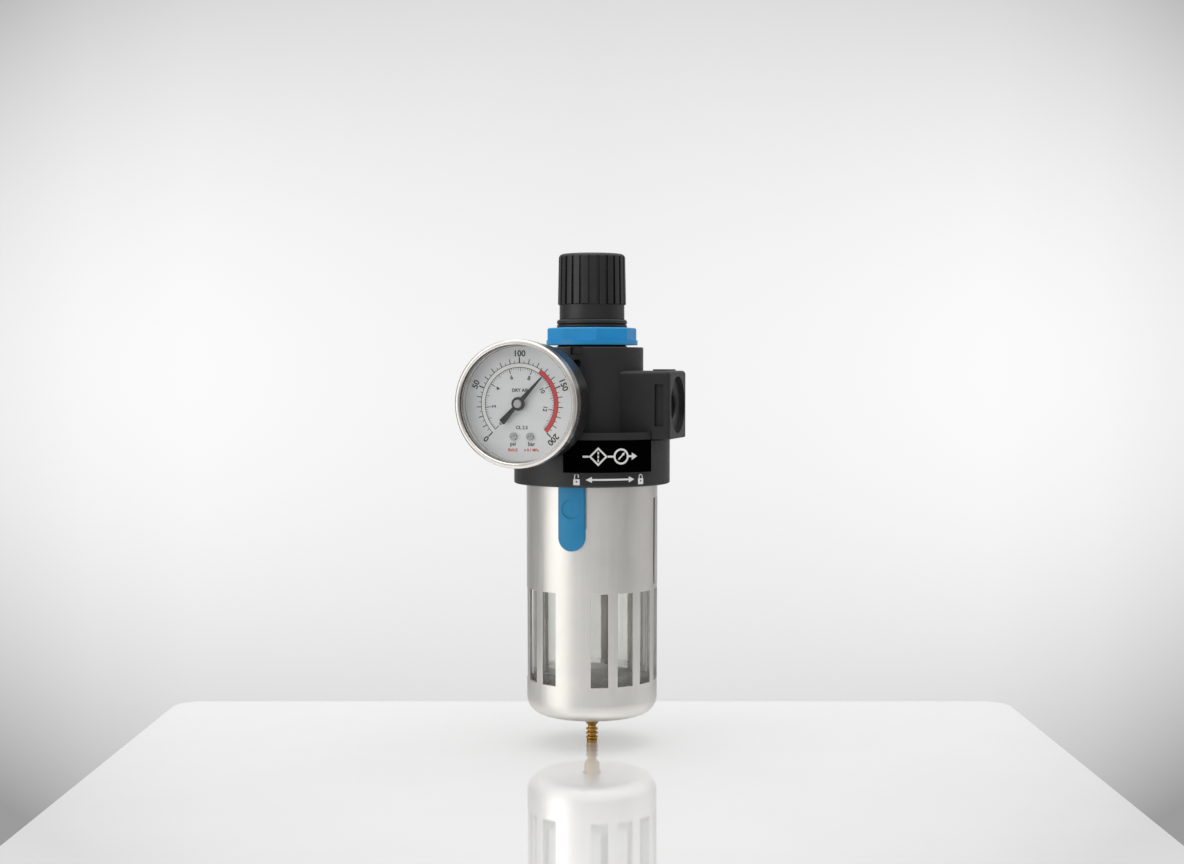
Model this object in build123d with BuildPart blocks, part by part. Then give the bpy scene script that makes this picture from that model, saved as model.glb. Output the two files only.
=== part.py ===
from build123d import *
import math
import os

# Compressed-air filter-regulator with a pressure gauge.
#
# Frame: millimetres, +Z up along the main axis, -Y to the front (the gauge side), +X to the
# outlet port. The origin is on the main axis at the body's top face, where a panel would lie.
# Angles named *_turn are degrees about +Z counted from the front towards +X.

os.makedirs("parts", exist_ok=True)

# ---------------------------------------------------------------- driving dimensions
fit = 0.05  # radial clearance of a running fit
gap = 0.3  # space between faces of pieces that move past each other
snug = 0.02  # radial clearance of pieces that stay put

# body
body_r = 22.0
port_reach = 38.0  # port face to main axis
port_depth = 29.0  # front to back
port_top = -9.9
port_bottom = -38.5
port_z = -24.3
port_r = 6.0  # wall of the G1/4 port
port_length = 13.0  # from the end face
port_mouth = 0.8  # chamfer at the port's face
recess_r = 12.0  # round recess that each port opens in
recess_depth = 2.0
collar_r = 33.4
collar_top = -38.4
collar_bottom = -57.9
collar_floor = -40.5  # ceiling of the bowl space
seal_bore_r = 26.35
seal_bore_bottom = -45.9
collar_bore_r = 30.4
pad_r = 33.9
pad_start_turn = -3.7
pad_end_turn = 63.4
pad_top = -35.4
pad_bottom = -52.4

# bonnet and panel thread (M30 x 1.5)
flange_r = 20.2
flange_bottom = -4.8
diaphragm_seat = -6.0
thread_r = 15.0
thread_pitch = 1.5
thread_top = 11.8
tower_r = 11.9
tower_top = 29.0
tower_wall = 3.0
spring_bore_r = 9.9

# knob
knob_r = 14.57
knob_top_r = 14.2
knob_skirt_r = 13.9
knob_bottom = 12.0
knob_flute_bottom = 18.1
knob_shoulder = 37.9
knob_dome = 39.7  # where the cap's bevel ends
knob_top = 40.0
knob_flutes = 24
knob_flute_turn = 12.5  # degrees, where the first groove lies
knob_bore_r = 12.3

# valve
valve_seat_z = -32.0
valve_stem_r = 1.5
poppet_r = 7.2
guide_stem_r = 2.0
boss_r = 13.0
boss_bottom = -46.0

# bayonet between body and guard
lug_turns = (-39.0, 81.0, 201.0)  # middle of each lug
lug_width = 38.0  # degrees
lug_top = -50.3
lug_bottom = -53.5

# bowl and guard
guard_r = 28.15
guard_base_r = 27.95
guard_wall = 1.2
guard_top = -47.6
guard_bottom = -156.9
guard_corner = 7.2
window_width = 7.3
window_top = -102.6
window_bottom = -141.7
window_step = 23.5  # degrees
side_slot_turn = 96.0
side_slot_width = 22.0  # degrees
side_slot_top = -63.7
side_slot_bottom = -100.6
bowl_r = 25.4
bowl_inner_r = 23.2
bowl_top = -41.3
bowl_bottom = -154.0
bowl_floor = -151.6

drain_tip = -170.2

# latch
latch_width = 11.4
latch_inner_r = 28.45
latch_outer_r = 30.1
latch_top = -50.6
latch_bottom = -84.6
thumb_z = -67.1
track_turn = 12.7  # half its width, degrees
track_depth = 0.7
track_bottom = -75.2
slot_wide = 4.6
slot_narrow = 2.6
slot_top = -55.4
slot_step = -66.6
slot_bottom = -82.0

# gauge
gauge_x = -12.4
gauge_z = -23.0
boss_face = 31.5  # distances along the gauge axis are counted from the main axis
gauge_back = 41.3
gauge_case_r = 24.5
gauge_front = 64.0
bezel_r = 25.6
dial_face = 57.5
dial_r = 22.9
pointer_turn = 43.0  # clockwise from the top, seen from the front
gear_module = 0.4
pinion_teeth = 10
sector_teeth_full = 72
sector_turn = 120.0  # direction from the sector's pivot to the pinion

# worked out
pinion_pitch_r = gear_module * pinion_teeth / 2
sector_pitch_r = gear_module * sector_teeth_full / 2
gear_distance = pinion_pitch_r + sector_pitch_r
sector_x = -gear_distance * math.cos(math.radians(sector_turn))
sector_y = -gear_distance * math.sin(math.radians(sector_turn))

above = (Align.CENTER, Align.CENTER, Align.MIN)
below = (Align.CENTER, Align.CENTER, Align.MAX)
top_edge = (Align.CENTER, Align.MAX)
gauge_plane = Plane(origin=(gauge_x, 0, gauge_z), x_dir=(1, 0, 0), z_dir=(0, -1, 0))
gauge_section = Plane(origin=(gauge_x, 0, gauge_z), x_dir=(1, 0, 0), z_dir=(0, 0, 1))
gauge_axis = Axis((gauge_x, 0, gauge_z), (0, -1, 0))


def turned(turn, radius):
    """Point at this turn from the front and this radius."""
    angle = math.radians(turn - 90)
    return (radius * math.cos(angle), radius * math.sin(angle))


def is_port_mouth(edge):
    """True for the round edge where a port opens in its recess."""
    is_at_mouth = abs(abs(edge.center().X) - port_reach + recess_depth) < 0.01
    return is_at_mouth and abs(edge.radius - port_r) < 0.01


def is_latch_front(face):
    """True for the curved outer face of the latch."""
    return face.geom_type == GeomType.CYLINDER and abs(face.center().Y + latch_outer_r) < 0.3


def ring_sector(inner, outer, start_turn, end_turn):
    """Flat piece of a ring between two turns from the front."""
    sweep_angle = end_turn - start_turn
    with BuildSketch(mode=Mode.PRIVATE) as sector:
        with BuildLine():
            CenterArc((0, 0), outer, start_turn - 90, sweep_angle)
            CenterArc((0, 0), inner, start_turn - 90, sweep_angle)
            Line(turned(start_turn, inner), turned(start_turn, outer))
            Line(turned(end_turn, inner), turned(end_turn, outer))
        make_face()
    return sector.sketch


def gear_tooth(pitch_r, teeth, centre_angle):
    """Straight-sided tooth, reaching a little into its gear's root circle."""
    pitch_angle = 360 / teeth
    root_r = pitch_r - 1.15 * gear_module
    tip_r = pitch_r + 0.75 * gear_module
    widths = ((root_r - 0.05, 0.31), (pitch_r, 0.2), (tip_r, 0.085))
    left = [(r, centre_angle + share * pitch_angle) for r, share in widths]
    right = [(r, centre_angle - share * pitch_angle) for r, share in reversed(widths)]
    outline = [(r * math.cos(math.radians(a)), r * math.sin(math.radians(a))) for r, a in left + right]
    with BuildSketch(mode=Mode.PRIVATE) as tooth:
        with BuildLine():
            Polyline(*outline, close=True)
        make_face()
    return tooth.sketch


# ---------------------------------------------------------------- body
with BuildPart() as body:
    with BuildSketch(Plane.XY.offset(port_bottom)):
        RectangleRounded(2 * port_reach, port_depth, 1.7)
    extrude(amount=port_top - port_bottom)
    fillet(body.edges().group_by(Axis.Z)[-1], 1.6)
    fillet(body.edges().group_by(Axis.Z)[0], 0.6)
    Cylinder(body_r, -collar_floor, align=below)
    fillet(body.edges().group_by(Axis.Z)[-1], 0.4)
    # low pads on the block's top near each port
    with Locations((32, 0, port_top), (-32, 0, port_top)):
        Box(6.0, 15.0, 0.6, align=above)
    # gauge bosses, front and rear
    with BuildSketch(gauge_plane.offset(-boss_face)):
        Circle(8.5)
    extrude(amount=2 * boss_face)
    # collar round the bowl's mouth, and the pad for the label
    with BuildSketch(Plane.XZ):
        with Locations((collar_r / 2, (collar_top + collar_bottom) / 2)):
            Rectangle(collar_r, collar_top - collar_bottom)
        fillet(vertices().group_by(Axis.X)[-1], 0.8)
    revolve(axis=Axis.Z)
    with BuildSketch(Plane.XY.offset(pad_bottom)):
        add(ring_sector(collar_r - 1.5, pad_r, pad_start_turn, pad_end_turn))
    extrude(amount=pad_top - pad_bottom)
    # bowl space inside the collar, around the valve boss
    with BuildSketch(Plane.XY.offset(collar_floor)):
        Circle(seal_bore_r)
        Circle(boss_r, mode=Mode.SUBTRACT)
    extrude(amount=boss_bottom - collar_floor, mode=Mode.SUBTRACT)
    with Locations((0, 0, seal_bore_bottom)):
        Cylinder(collar_bore_r, seal_bore_bottom - boss_bottom, align=below, mode=Mode.SUBTRACT)
        Cylinder(boss_r, seal_bore_bottom - boss_bottom, align=below)
    with Locations((0, 0, boss_bottom)):
        Cylinder(collar_bore_r, boss_bottom - collar_bottom, align=below, mode=Mode.SUBTRACT)
    # bayonet lugs that carry the guard
    with BuildSketch(Plane.XY.offset(lug_bottom)):
        for lug in lug_turns:
            add(ring_sector(guard_r + gap, collar_bore_r + 0.5, lug - lug_width / 2, lug + lug_width / 2))
    extrude(amount=lug_top - lug_bottom)
    # bonnet seat, diaphragm chamber, outlet chamber, valve seat and poppet chamber
    Cylinder(flange_r + 0.1, -diaphragm_seat, align=below, mode=Mode.SUBTRACT)
    with Locations((0, 0, diaphragm_seat)):
        Cylinder(15.5, 4.0, align=below, mode=Mode.SUBTRACT)
    with Locations((0, 0, -10.0)):
        Cylinder(valve_stem_r + 0.1, 3.5, align=below, mode=Mode.SUBTRACT)
    with Locations((5.5, 0, -10.0)):
        Cylinder(1.2, 3.5, align=below, mode=Mode.SUBTRACT)
    with Locations((0, 0, -13.0)):
        Cylinder(9.0, 17.0, align=below, mode=Mode.SUBTRACT)
    with Locations((0, 0, -30.0)):
        Cylinder(4.5, 3.0, align=below, mode=Mode.SUBTRACT)
    with Locations((0, 0, valve_seat_z)):
        Cylinder(10.0, valve_seat_z - boss_bottom, align=below, mode=Mode.SUBTRACT)
    # ports: inlet on the left runs down outside the deflector, outlet joins the upper chamber
    with BuildSketch(Plane.YZ.offset(port_reach)):
        with Locations((0, port_z)):
            Circle(port_r)
    extrude(amount=-port_length, mode=Mode.SUBTRACT)
    with BuildSketch(Plane.YZ.offset(port_reach - port_length)):
        with Locations((0, port_z)):
            Circle(4.5)
    extrude(amount=-18.5, mode=Mode.SUBTRACT)
    with BuildSketch(Plane.YZ.offset(-port_reach)):
        with Locations((0, port_z)):
            Circle(port_r)
    extrude(amount=port_length, mode=Mode.SUBTRACT)
    with BuildSketch(Plane.YZ.offset(port_reach), Plane.YZ.offset(-port_reach + recess_depth)):
        with Locations((0, port_z)):
            Circle(recess_r)
    extrude(amount=-recess_depth, mode=Mode.SUBTRACT)
    chamfer(body.edges().filter_by(GeomType.CIRCLE).filter_by(is_port_mouth), port_mouth)
    with Locations((-20.5, 0, port_z)):
        Box(9.0, 9.0, 9.0, mode=Mode.SUBTRACT)
    with Locations((-19.2, 0, port_z)):
        Box(6.4, 9.0, port_z - collar_floor + 0.5, align=below, mode=Mode.SUBTRACT)
    # clamp pockets beside the ends
    for side in (-1, 1):
        with Locations((side * 33.4, -port_depth / 2, port_z), (side * 33.4, port_depth / 2, port_z)):
            Box(3.6, 3.6, 17.5, mode=Mode.SUBTRACT)
    # gauge passages to the outlet chamber, and the threaded ends in both bosses
    with BuildSketch(gauge_plane.offset(-boss_face)):
        Circle(2.0)
    extrude(amount=2 * boss_face, mode=Mode.SUBTRACT)
    with Locations((gauge_x / 2, 0, gauge_z)):
        Box(-gauge_x, 4.0, 4.0, mode=Mode.SUBTRACT)
    with BuildSketch(gauge_plane.offset(boss_face), gauge_plane.offset(-boss_face + 10.0)):
        Circle(4.8 + snug)
    extrude(amount=-10.0, mode=Mode.SUBTRACT)
    # key notch in the top rim, the blind hole under it, and the tapped holes for the bonnet
    with Locations((0, -body_r, 0)):
        Box(5.4, 4.4, 3.2, align=below, mode=Mode.SUBTRACT)
    with BuildSketch(Plane.XZ.offset(body_r)):
        with Locations((0, -7.1)):
            Circle(1.9)
    extrude(amount=-2.5, mode=Mode.SUBTRACT)
    with Locations(Plane.XY.offset(diaphragm_seat)):
        with PolarLocations(17.4, 4, start_angle=45):
            Cylinder(1.25 + snug, 6.0, align=below, mode=Mode.SUBTRACT)
body.part.label = "body"
export_step(body.part, "parts/body.step")

# ---------------------------------------------------------------- bonnet
with BuildPart() as bonnet:
    with BuildSketch(Plane.XZ):
        with BuildLine():
            Polyline(
                (0, flange_bottom),
                (flange_r, flange_bottom),
                (flange_r, 0),
                (thread_r, 0),
                (thread_r, thread_top - 0.6),
                (thread_r - 0.6, thread_top),
                (tower_r, thread_top),
                (tower_r, tower_top),
                (0, tower_top),
                close=True,
            )
        make_face()
    revolve(axis=Axis.Z)
    # thread on the neck
    with BuildSketch(Plane.XZ):
        for turn in range(7):
            groove_z = 0.8 + turn * thread_pitch
            with BuildLine():
                Polyline(
                    (thread_r + 0.2, groove_z - 0.45),
                    (thread_r - 0.6, groove_z),
                    (thread_r + 0.2, groove_z + 0.45),
                    close=True,
                )
            make_face()
    revolve(axis=Axis.Z, mode=Mode.SUBTRACT)
    # room for the diaphragm plates, the spring's bore, the key ways and the spindle's hole
    with Locations((0, 0, flange_bottom)):
        Cylinder(14.7, 3.6, align=above, mode=Mode.SUBTRACT)
        Cylinder(spring_bore_r, tower_top - tower_wall - flange_bottom, align=above, mode=Mode.SUBTRACT)
    with Locations((0, 0, 2.0)):
        Box(21.6, 3.2, tower_top - tower_wall - 2.0, align=above, mode=Mode.SUBTRACT)
    with Locations((0, 0, tower_top)):
        Cylinder(4.15 + fit, tower_wall + 1.0, align=below, mode=Mode.SUBTRACT)
    # screw holes with sunk heads, and the key that sits in the body's notch
    with Locations(Plane.XY):
        with PolarLocations(17.4, 4, start_angle=45):
            CounterBoreHole(1.4, 2.4, 2.2, depth=6.0)
    with Locations((0, -20.0, -1.0)):
        Box(4.6, 1.6, 2.0, align=below)
bonnet.part.label = "bonnet"
export_step(bonnet.part, "parts/bonnet.step")

with BuildPart() as bonnet_screws:
    with Locations(Plane.XY.offset(-0.2)):
        with PolarLocations(17.4, 4, start_angle=45):
            Cylinder(2.3, 2.0, align=below)
            Cylinder(1.25, 11.0, align=below)
    with Locations(Plane.XY.offset(-0.2)):
        with PolarLocations(17.4, 4, start_angle=45):
            Box(3.0, 0.6, 0.8, align=below, mode=Mode.SUBTRACT)
            Box(0.6, 3.0, 0.8, align=below, mode=Mode.SUBTRACT)
bonnet_screws.part.label = "bonnet_screws"
export_step(bonnet_screws.part, "parts/bonnet_screws.step")

with BuildPart() as panel_nut:
    with BuildSketch(Plane.XY.offset(1.0)):
        RegularPolygon(35.3 / 2, 8, major_radius=False, rotation=22.5)
    extrude(amount=7.3)
    chamfer(panel_nut.faces().sort_by(Axis.Z)[-1].edges(), 0.5)
    with Locations((0, 0, 1.0)):
        Cylinder(19.55, 2.0, align=above)
        Cylinder(thread_r + fit, 8.0, align=above, mode=Mode.SUBTRACT)
panel_nut.part.label = "panel_nut"
export_step(panel_nut.part, "parts/panel_nut.step")

# ---------------------------------------------------------------- knob, spindle and spring
with BuildPart() as knob:
    with BuildSketch(Plane.XZ):
        with BuildLine():
            Line((0, knob_bottom), (knob_skirt_r, knob_bottom))
            Line((knob_skirt_r, knob_bottom), (knob_skirt_r, knob_flute_bottom))
            Line((knob_skirt_r, knob_flute_bottom), (knob_r - 0.3, knob_flute_bottom))
            Line((knob_r - 0.3, knob_flute_bottom), (knob_r, knob_flute_bottom + 0.4))
            Line((knob_r, knob_flute_bottom + 0.4), (knob_top_r, knob_shoulder))
            ThreePointArc((knob_top_r, knob_shoulder), (13.8, knob_dome - 0.6), (12.9, knob_dome))
            Line((12.9, knob_dome), (6.0, knob_top))
            Line((6.0, knob_top), (0, knob_top))
            Line((0, knob_top), (0, knob_bottom))
        make_face()
    revolve(axis=Axis.Z)
    # grooves between the grips
    with Locations((0, 0, knob_flute_bottom)):
        with PolarLocations(14.4, knob_flutes, start_angle=knob_flute_turn):
            Box(1.7, 1.2, knob_shoulder + 0.6 - knob_flute_bottom, align=above, mode=Mode.SUBTRACT)
    # hollow inside, with a hub that slides on the spindle's hexagon
    with Locations((0, 0, knob_bottom)):
        Cylinder(knob_bore_r, 35.4 - knob_bottom, align=above, mode=Mode.SUBTRACT)
    with Locations((0, 0, 29.5)):
        Cylinder(7.0, 6.2, align=above)
    with BuildSketch(Plane.XY.offset(29.5)):
        RegularPolygon(4.1, 6, major_radius=False)
    extrude(amount=8.0, mode=Mode.SUBTRACT)
knob.part.label = "knob"
export_step(knob.part, "parts/knob.step")

with BuildPart() as adjusting_screw:
    with Locations((0, 0, 4.0)):
        Cylinder(4.0, 20.0, align=above)
    with Locations((0, 0, 23.9)):
        Cylinder(7.0, 1.8, align=above)
        Cylinder(4.15, 5.4, align=above)
    with BuildSketch(Plane.XY.offset(29.3)):
        RegularPolygon(4.0, 6, major_radius=False)
    extrude(amount=7.9)
    # left-hand thread, drawn as rings
    with BuildSketch(Plane.XZ):
        for turn in range(12):
            groove_z = 5.0 + turn * thread_pitch
            with BuildLine():
                Polyline((4.2, groove_z - 0.5), (3.4, groove_z), (4.2, groove_z + 0.5), close=True)
            make_face()
    revolve(axis=Axis.Z, mode=Mode.SUBTRACT)
adjusting_screw.part.label = "adjusting_screw"
export_step(adjusting_screw.part, "parts/adjusting_screw.step")

with BuildPart() as spring_seat:
    with Locations((0, 0, 14.0)):
        Cylinder(9.3, 2.0, align=above)
        Box(21.2, 2.8, 2.0, align=above)
        Cylinder(6.0, 5.0, align=below)
    with Locations((0, 0, 16.5)):
        Cylinder(4.0 + fit, 8.0, align=below, mode=Mode.SUBTRACT)
spring_seat.part.label = "spring_seat"
export_step(spring_seat.part, "parts/spring_seat.step")

with BuildPart() as regulating_spring:
    with BuildLine() as coil:
        Helix(pitch=3.3, height=14.7, radius=7.8, center=(0, 0, -2.1))
    with BuildSketch(Plane(origin=coil.line @ 0, z_dir=coil.line % 0)):
        Circle(1.1)
    sweep(path=coil.line, is_frenet=True)
regulating_spring.part.label = "regulating_spring"
export_step(regulating_spring.part, "parts/regulating_spring.step")

# ---------------------------------------------------------------- diaphragm
with BuildPart() as diaphragm:
    with BuildSketch(Plane.XZ):
        with BuildLine():
            Line((2.6, -6.0), (12.1, -6.0))
            ThreePointArc((12.1, -6.0), (12.9, -5.2), (13.7, -6.0))
            Line((13.7, -6.0), (20.0, -6.0))
            Line((20.0, -6.0), (20.0, -4.8))
            Line((20.0, -4.8), (14.2, -4.8))
            ThreePointArc((14.2, -4.8), (12.9, -4.0), (11.6, -4.8))
            Line((11.6, -4.8), (2.6, -4.8))
            Line((2.6, -4.8), (2.6, -6.0))
        make_face()
    revolve(axis=Axis.Z)
    with Locations(Plane.XY.offset(diaphragm_seat)):
        with PolarLocations(17.4, 4, start_angle=45):
            Cylinder(1.5, 2.0, align=above, mode=Mode.SUBTRACT)
diaphragm.part.label = "diaphragm"
export_step(diaphragm.part, "parts/diaphragm.step")

with BuildPart() as diaphragm_upper_plate:
    with Locations((0, 0, -4.8)):
        Cylinder(11.4, 1.5, align=above)
        Cylinder(6.2, 2.8, align=above)
        Cylinder(2.5 + fit, 4.0, align=above, mode=Mode.SUBTRACT)
diaphragm_upper_plate.part.label = "diaphragm_upper_plate"
export_step(diaphragm_upper_plate.part, "parts/diaphragm_upper_plate.step")

with BuildPart() as diaphragm_lower_plate:
    with Locations((0, 0, -7.2)):
        Cylinder(10.8, 1.2, align=above)
        Cylinder(2.5, 8.4, align=above)
        Cylinder(0.8, 9.0, align=above, mode=Mode.SUBTRACT)
diaphragm_lower_plate.part.label = "diaphragm_lower_plate"
export_step(diaphragm_lower_plate.part, "parts/diaphragm_lower_plate.step")

with BuildPart() as diaphragm_nut:
    with BuildSketch(Plane.XY.offset(-2.0)):
        RegularPolygon(4.0, 6, major_radius=False)
        Circle(2.5 + snug, mode=Mode.SUBTRACT)
    extrude(amount=2.6)
diaphragm_nut.part.label = "diaphragm_nut"
export_step(diaphragm_nut.part, "parts/diaphragm_nut.step")

# ---------------------------------------------------------------- valve
with BuildPart() as valve_poppet:
    with Locations((0, 0, -7.2)):
        Cylinder(valve_stem_r, 26.6, align=below)
    with Locations((0, 0, -33.6)):
        Cylinder(poppet_r, 2.0, align=below)
        Cylinder(guide_stem_r, 9.4, align=below)
valve_poppet.part.label = "valve_poppet"
export_step(valve_poppet.part, "parts/valve_poppet.step")

with BuildPart() as poppet_seal:
    with BuildSketch(Plane.XY.offset(-33.6)):
        Circle(6.6)
        Circle(valve_stem_r + snug, mode=Mode.SUBTRACT)
    extrude(amount=1.45)
poppet_seal.part.label = "poppet_seal"
export_step(poppet_seal.part, "parts/poppet_seal.step")

with BuildPart() as poppet_spring:
    with BuildLine() as coil:
        Helix(pitch=1.5, height=6.3, radius=4.4, center=(0, 0, -42.5))
    with BuildSketch(Plane(origin=coil.line @ 0, z_dir=coil.line % 0)):
        Circle(0.4)
    sweep(path=coil.line, is_frenet=True)
poppet_spring.part.label = "poppet_spring"
export_step(poppet_spring.part, "parts/poppet_spring.step")

with BuildPart() as valve_guide:
    with Locations((0, 0, -38.5)):
        Cylinder(9.95, 10.7, align=below)
    with Locations((0, 0, -47.2)):
        Cylinder(12.8, 2.0, align=below)
        Cylinder(3.0, 47.8, align=below)
    with Locations((0, 0, -38.5)):
        Cylinder(7.8, 4.5, align=below, mode=Mode.SUBTRACT)
        Cylinder(guide_stem_r + fit, 8.0, align=below, mode=Mode.SUBTRACT)
    with Locations(Plane.XY.offset(-42.0)):
        with PolarLocations(6.3, 8):
            Cylinder(1.1, 8.0, align=below, mode=Mode.SUBTRACT)
valve_guide.part.label = "valve_guide"
export_step(valve_guide.part, "parts/valve_guide.step")

# ---------------------------------------------------------------- filter
with BuildPart() as deflector:
    with BuildSketch(Plane.XY.offset(-47.2)):
        Circle(22.6)
        Circle(10.05, mode=Mode.SUBTRACT)
    extrude(amount=1.2)
    with BuildSketch(Plane.XY.offset(-46.0)):
        with PolarLocations(18.2, 16):
            Rectangle(6.6, 1.2, rotation=35)
    extrude(amount=5.0)
deflector.part.label = "deflector"
export_step(deflector.part, "parts/deflector.step")

with BuildPart() as filter_element:
    with BuildSketch(Plane.XY.offset(-89.0)):
        Circle(14.0)
        Circle(10.5, mode=Mode.SUBTRACT)
    extrude(amount=39.8)
filter_element.part.label = "filter_element"
export_step(filter_element.part, "parts/filter_element.step")

with BuildPart() as baffle:
    with Locations((0, 0, -89.0)):
        Cylinder(19.0, 8.0, align=below)
    with BuildSketch(Plane.XY.offset(-97.0)):
        Circle(17.8)
        Circle(6.0, mode=Mode.SUBTRACT)
    extrude(amount=6.4, mode=Mode.SUBTRACT)
    with Locations((0, 0, -88.0)):
        Cylinder(3.0 + snug, 10.0, align=below, mode=Mode.SUBTRACT)
baffle.part.label = "baffle"
export_step(baffle.part, "parts/baffle.step")

# ---------------------------------------------------------------- bowl and guard
with BuildPart() as bowl:
    with BuildSketch(Plane.XZ):
        with BuildLine():
            Line((bowl_inner_r, bowl_top), (bowl_r, bowl_top))
            Polyline(
                (bowl_r, bowl_top),
                (bowl_r, -42.6),
                (bowl_r - 1.0, -42.6),
                (bowl_r - 1.0, -44.8),
                (bowl_r, -44.8),
                (bowl_r, -46.2),
                (27.5, -46.2),
                (27.5, guard_top),
                (bowl_r, guard_top),
                (bowl_r, bowl_bottom + 8.0),
            )
            RadiusArc((bowl_r, bowl_bottom + 8.0), (bowl_r - 8.0, bowl_bottom), 8.0)
            Line((bowl_r - 8.0, bowl_bottom), (5.05, bowl_bottom))
            Line((5.05, bowl_bottom), (5.05, bowl_floor))
            Line((5.05, bowl_floor), (bowl_inner_r - 6.0, bowl_floor))
            RadiusArc((bowl_inner_r - 6.0, bowl_floor), (bowl_inner_r, bowl_floor + 6.0), -6.0)
            Line((bowl_inner_r, bowl_floor + 6.0), (bowl_inner_r, bowl_top))
        make_face()
    revolve(axis=Axis.Z)
bowl.part.label = "bowl"
export_step(bowl.part, "parts/bowl.step")

with BuildPart() as bowl_o_ring:
    with BuildSketch(Plane.XZ):
        with Locations((bowl_r - 1.0 + 0.95, -43.7)):
            Circle(0.95)
    revolve(axis=Axis.Z)
bowl_o_ring.part.label = "bowl_o_ring"
export_step(bowl_o_ring.part, "parts/bowl_o_ring.step")

with BuildPart() as bowl_guard:
    with BuildSketch(Plane.XZ):
        with BuildLine():
            Line((guard_r - guard_wall, guard_top), (guard_r, guard_top))
            Line((guard_r, guard_top), (guard_base_r, guard_bottom + guard_corner))
            RadiusArc(
                (guard_base_r, guard_bottom + guard_corner),
                (guard_base_r - guard_corner, guard_bottom),
                guard_corner,
            )
            Line((guard_base_r - guard_corner, guard_bottom), (4.2, guard_bottom))
            Line((4.2, guard_bottom), (4.2, guard_bottom + 1.5))
            Line((4.2, guard_bottom + 1.5), (20.6, guard_bottom + 1.5))
            RadiusArc((20.6, guard_bottom + 1.5), (26.6, guard_bottom + 7.5), -6.0)
            Line((26.6, guard_bottom + 7.5), (guard_r - guard_wall, guard_top))
        make_face()
    revolve(axis=Axis.Z)
    # bayonet lugs
    with BuildSketch(Plane.XY.offset(lug_top + gap)):
        for lug in lug_turns:
            add(ring_sector(guard_r - 0.5, 29.9, lug - lug_width / 2, lug + lug_width / 2))
    extrude(amount=guard_top - lug_top - gap)
    # windows all round the lower half, except at the front
    with BuildSketch(Plane.XY.offset((window_top + window_bottom) / 2)):
        for turn in range(1, 15):
            reach = turned(window_step * (turn if turn < 8 else 7 - turn), 25.0)
            with Locations(reach):
                Rectangle(8.0, window_width, rotation=math.degrees(math.atan2(reach[1], reach[0])))
    extrude(amount=(window_top - window_bottom) / 2, both=True, mode=Mode.SUBTRACT)
    # long side slots
    with BuildSketch(Plane.XY.offset(side_slot_bottom)):
        for turn in (side_slot_turn, -side_slot_turn):
            add(ring_sector(25.0, 29.0, turn - side_slot_width / 2, turn + side_slot_width / 2))
    extrude(amount=side_slot_top - side_slot_bottom, mode=Mode.SUBTRACT)
    # shallow track under the latch, and the slot in it: wide for its neck, narrow for its spring
    with BuildSketch(Plane.XY.offset(track_bottom)):
        add(ring_sector(guard_r - track_depth, guard_r + 1.0, -track_turn, track_turn))
    extrude(amount=guard_top - track_bottom, mode=Mode.SUBTRACT)
    with Locations((0, -27.0, slot_top)):
        Box(slot_wide, 4.0, slot_top - slot_step, align=below, mode=Mode.SUBTRACT)
        Box(slot_narrow, 4.0, slot_top - slot_bottom, align=below, mode=Mode.SUBTRACT)
bowl_guard.part.label = "bowl_guard"
export_step(bowl_guard.part, "parts/bowl_guard.step")

# ---------------------------------------------------------------- latch
with BuildPart() as latch:
    with BuildSketch(Plane.XZ.offset(20.0)):
        with Locations((0, latch_bottom + latch_width / 2)):
            Circle(latch_width / 2)
        with Locations((0, latch_top)):
            Rectangle(latch_width, latch_top - latch_bottom - latch_width / 2, align=top_edge)
    extrude(amount=12.0)
    with BuildSketch(Plane.XY.offset(latch_bottom)):
        Circle(latch_outer_r)
        Circle(latch_inner_r, mode=Mode.SUBTRACT)
    extrude(amount=latch_top - latch_bottom, mode=Mode.INTERSECT)
    chamfer(latch.faces().filter_by(is_latch_front).edges(), 0.35)
    with BuildSketch(Plane.XZ.offset(latch_outer_r + 1.0)):
        with Locations((0, thumb_z)):
            Circle(4.0)
    extrude(amount=-1.5, mode=Mode.SUBTRACT)
    # neck and head that hold it in the guard's slot, and the tongue that its spring pushes
    with Locations((0, -27.7, -56.0)):
        Box(4.0, 2.4, 6.0, align=below)
        Box(2.0, 2.4, 13.0, align=below)
    with BuildSketch(Plane.XY.offset(-62.0)):
        add(ring_sector(25.75, 26.3, -8.0, 8.0))
        add(ring_sector(25.75, 26.7, -3.6, 3.6))
    extrude(amount=6.0)
latch.part.label = "latch"
export_step(latch.part, "parts/latch.step")

with BuildPart() as latch_spring:
    with BuildLine() as coil:
        Helix(pitch=1.5, height=12.3, radius=0.75, center=(0, -27.0, -81.8))
    with BuildSketch(Plane(origin=coil.line @ 0, z_dir=coil.line % 0)):
        Circle(0.2)
    sweep(path=coil.line, is_frenet=True)
latch_spring.part.label = "latch_spring"
export_step(latch_spring.part, "parts/latch_spring.step")

# ---------------------------------------------------------------- drain
with BuildPart() as drain_bush:
    with Locations((0, 0, bowl_bottom)):
        Cylinder(5.0, bowl_floor - bowl_bottom, align=above)
    with Locations((0, 0, bowl_floor)):
        Cylinder(7.5, 1.4, align=above)
    with Locations((0, 0, bowl_bottom)):
        Cylinder(2.15 + fit, 6.0, align=above, mode=Mode.SUBTRACT)
        Cylinder(3.75, 1.2, align=above, mode=Mode.SUBTRACT)
drain_bush.part.label = "drain_bush"
export_step(drain_bush.part, "parts/drain_bush.step")

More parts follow.
